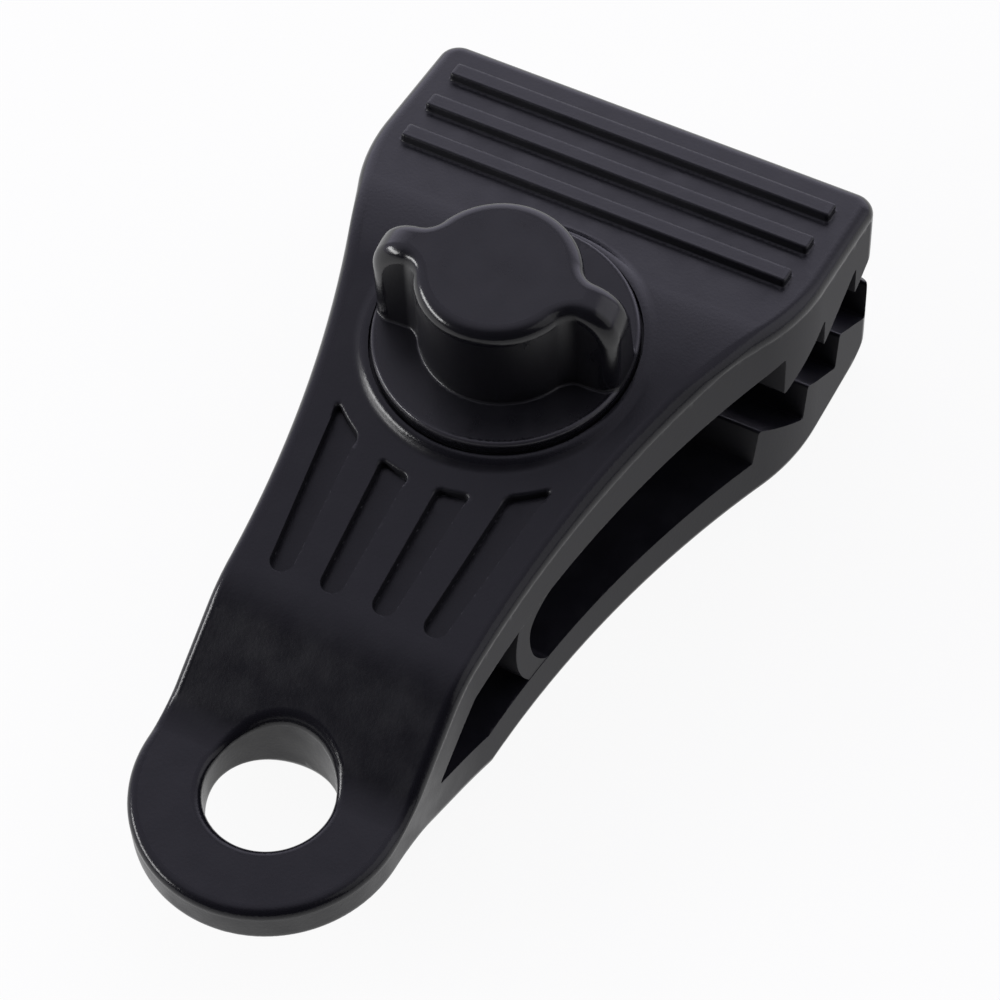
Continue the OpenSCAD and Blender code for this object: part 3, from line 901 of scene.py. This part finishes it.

# %% [markdown]
# ## The table
# The clip lies on white paper. The paper has to look white to the camera without more light on the clip,
# so the camera and mirrored rays see it glow a little, while other rays see plain paper that takes the
# shadow. Black plastic shows mostly what it mirrors, and the knob mirrors the paper in front of the
# picture. That part of the paper is painted grey, a painted shade like paper the light doesn't reach.

# %% White table
table_half = 3.0
table_gap = 0.05
table_z = (bottom_z - table_gap) * MM
table_corners = [(-1, -1), (1, -1), (1, 1), (-1, 1)]
table_data = bpy.data.meshes.new("table")
table_data.from_pydata([(sx * table_half, sy * table_half, table_z) for sx, sy in table_corners],
                       [], [(0, 1, 2, 3)])
table = bpy.data.objects.new("table", table_data)
bpy.context.scene.collection.objects.link(table)
table_white = bpy.data.materials.new("table_white")
table_white.use_nodes = True
table_data.materials.append(table_white)
print("table at", round(table_z / MM, 2), "mm")

# %% White paper
paper_rough, glow_share = 0.9, 0.92
# The grey is a painted shade for the paper in front of the clip.
paper_white, painted_shade_grey, full_white = (0.95, 0.94, 0.93, 1), (0.7, 0.7, 0.7, 1), (1, 1, 1, 1)
painted_shade_end, white_start = -80 * MM, -20 * MM
table_link = table_white.node_tree.links.new
table_shader = table_white.node_tree.nodes["Principled BSDF"]
table_shader.inputs["Roughness"].default_value = paper_rough
place = add_node(table_white, "ShaderNodeTexCoord")
away = add_node(table_white, "ShaderNodeVectorMath", operation="DOT_PRODUCT")
away.inputs[1].default_value = Vector((-camera_back.x, -camera_back.y, 0)).normalized()
table_link(place.outputs["Object"], away.inputs[0])
# Painted shade: the paper's colour and glow fall off to grey towards the camera.
painted_light_share = ranged(table_white, away.outputs["Value"], 0.0, 1.0, painted_shade_end, white_start)
paper = mixed(table_white, "RGBA", painted_light_share, painted_shade_grey, paper_white)
paper_glow = mixed(table_white, "RGBA", painted_light_share, painted_shade_grey, full_white)
table_link(paper, table_shader.inputs["Base Color"])
rays = add_node(table_white, "ShaderNodeLightPath")
seen = rays.outputs["Is Camera Ray"]
for kind in ("Is Glossy Ray", "Is Transmission Ray"):
    either_ray = add_node(table_white, "ShaderNodeMath", operation="MAXIMUM")
    table_link(seen, either_ray.inputs[0])
    table_link(rays.outputs[kind], either_ray.inputs[1])
    seen = either_ray.outputs["Value"]
glow = add_node(table_white, "ShaderNodeEmission", Strength=1.0)
table_link(paper_glow, glow.inputs["Color"])
blend = add_node(table_white, "ShaderNodeMixShader")
table_link(ranged(table_white, seen, 0.0, glow_share, 0.0, 1.0), blend.inputs["Fac"])
table_link(table_shader.outputs["BSDF"], blend.inputs[1])
table_link(glow.outputs["Emission"], blend.inputs[2])
table_link(blend.outputs["Shader"], table_white.node_tree.nodes["Material Output"].inputs["Surface"])
print("the paper is white from", round(white_start / MM), "mm on")

# %% [markdown]
# ## The light
# A bright panel stands on the left, a little behind the camera, and draws thin lines along the rounded
# left edges. A weak, large one on the right keeps the shadows open. The sky is darkest over the camera
# and brightest beyond the jaws, so the top darkens down the slope as it does in the photograph. A plain
# gradient can't hold that many levels, so a colour ramp sets them in steps, all of them slightly cool.

# %% Panels and a stepped sky
def panel(name, place, aim, size, radiance):
    """A rectangular lamp whose face has the given brightness."""
    lamp_data = bpy.data.lights.new(name, "AREA")
    lamp_data.shape = "RECTANGLE"
    lamp_data.size, lamp_data.size_y = size
    lamp_data.energy = radiance * math.pi * size[0] * size[1]
    lamp = bpy.data.objects.new(name, lamp_data)
    lamp.location = place
    lamp.rotation_euler = (Vector(aim) - Vector(place)).to_track_quat("-Z", "Y").to_euler()
    bpy.context.scene.collection.objects.link(lamp)
    return lamp


def sky(far_way, tint, levels):
    """A world whose brightness follows a row of steps, each the turn towards far_way and a level."""
    world = bpy.data.worlds.new("studio")
    world.use_nodes = True
    bpy.context.scene.world = world
    link = world.node_tree.links.new
    place = add_node(world, "ShaderNodeTexCoord")
    facing = add_node(world, "ShaderNodeVectorMath", operation="DOT_PRODUCT")
    facing.inputs[1].default_value = Vector(far_way).normalized()
    link(place.outputs["Generated"], facing.inputs[0])
    ramp = add_node(world, "ShaderNodeValToRGB")
    link(ranged(world, facing.outputs["Value"], 0.0, 1.0, -1.0, 1.0), ramp.inputs["Fac"])
    peak = max(level for _, level in levels) * max(tint)
    steps = ramp.color_ramp.elements
    while len(steps) > 1:
        steps.remove(steps[-1])
    for i, (turn, level) in enumerate(levels):
        step = steps.new((turn + 1) / 2) if i else steps[0]
        step.position = (turn + 1) / 2
        step.color = [level * part / peak for part in tint] + [1]
    background = world.node_tree.nodes["Background"]
    background.inputs["Strength"].default_value = peak
    link(ramp.outputs["Color"], background.inputs["Color"])
    return world


print("helpers for light:", panel.__name__, sky.__name__)

# %% Light the clip
beyond_jaws, cool_tint = (0.93, 0.36, 0.0), (0.97, 0.94, 1.14)
dark_levels = [(-1.0, 0.03), (-0.7, 0.05), (-0.43, 0.09)]
bright_levels = [(0.0, 0.54), (0.31, 0.74), (0.56, 0.64), (0.74, 1.6), (1.0, 1.6)]
clip_middle = (0.03, 0, 0.01)
sky(beyond_jaws, cool_tint, dark_levels + bright_levels)
panel("left_panel", place=(-0.24, 0.49, 0.21), aim=clip_middle, size=(0.43, 0.11), radiance=15.0)
panel("right_panel", place=(0.3, -0.9, 0.6), aim=clip_middle, size=(1.4, 1.0), radiance=0.6)
bpy.context.scene.view_settings.view_transform = "Standard"
